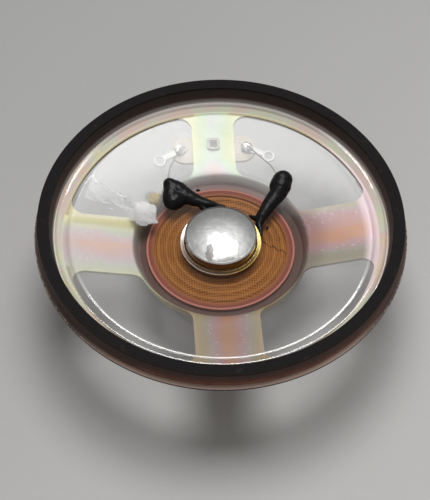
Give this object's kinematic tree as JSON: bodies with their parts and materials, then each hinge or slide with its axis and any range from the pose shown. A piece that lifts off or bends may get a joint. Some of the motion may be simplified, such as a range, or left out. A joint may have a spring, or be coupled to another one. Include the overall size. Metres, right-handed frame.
{
  "type": "mylar cone loudspeaker",
  "caption": "Small round loudspeaker with a clear film cone and silver dome in a pressed steel basket, a stiff rim ring in front, a magnet pot behind and solder lugs to one side.",
  "frame": {"origin": "middle of the magnet pot's back face, on the surface that the speaker lies on", "axes": "+Z out of the front of the speaker along its axis, +Y towards the terminal board, +X to the right seen from the front with the terminals up"},
  "size_m": [0.077, 0.077, 0.0245],
  "materials": {
    "basket": "yellow-green iridescent passivated zinc on pressed steel",
    "stakes": "upset steel stakes",
    "pot": "zinc-plated steel",
    "magnet": "sintered magnet, dull grey",
    "pole": "zinc-plated steel",
    "ring_board": "red-brown pressed fibre board, matt",
    "facing": "black matt paper facing",
    "film": "clear polyester film, glossy",
    "collar": "amber film, glossy",
    "cap": "silver metallised cap, satin to glossy",
    "former": "amber film tube",
    "winding": "enamelled copper wire",
    "cloth": "resin-dipped orange-brown woven cloth",
    "edge_ring": "maroon board ring",
    "board": "tan laminated paper board",
    "rivet": "plated steel clinch rivet",
    "lug": "tinned",
    "solder": "bright solder",
    "lead": "tinned braided lead wire",
    "glue": "black glossy adhesive",
    "dab": "dried amber adhesive"
  },
  "bodies": {
    "frame": {"basket": "basket", "basket_stakes": "stakes", "yoke_cup": "pot", "magnet": "magnet", "pole_plate": "pole", "top_plate": "pole", "rim_ring": "ring_board", "rim_facing": "facing", "surround": "film", "suspension_disc": "cloth", "disc_edge_ring": "edge_ring", "terminal_board": "board", "board_rivet": "rivet", "lug_left": "lug", "lug_right": "lug", "solder_left": "solder", "solder_right": "solder", "lead_left": "lead", "lead_right": "lead", "adhesive_dab": "dab"},
    "cone_assembly": {"cone": "film", "collar": "collar", "dust_cap": "cap", "coil_former": "former", "coil_winding": "winding", "glue_left": "glue", "glue_right": "glue"}
  },
  "joints": [
    {"name": "cone_travel", "type": "slide", "parent": "frame", "child": "cone_assembly", "axis": [0, 0, 1], "range_m": [-0.0008, 0.0008], "stiffness_N_per_m": 1000, "deforming": ["surround", "suspension_disc", "lead_left", "lead_right"]}
  ]
}
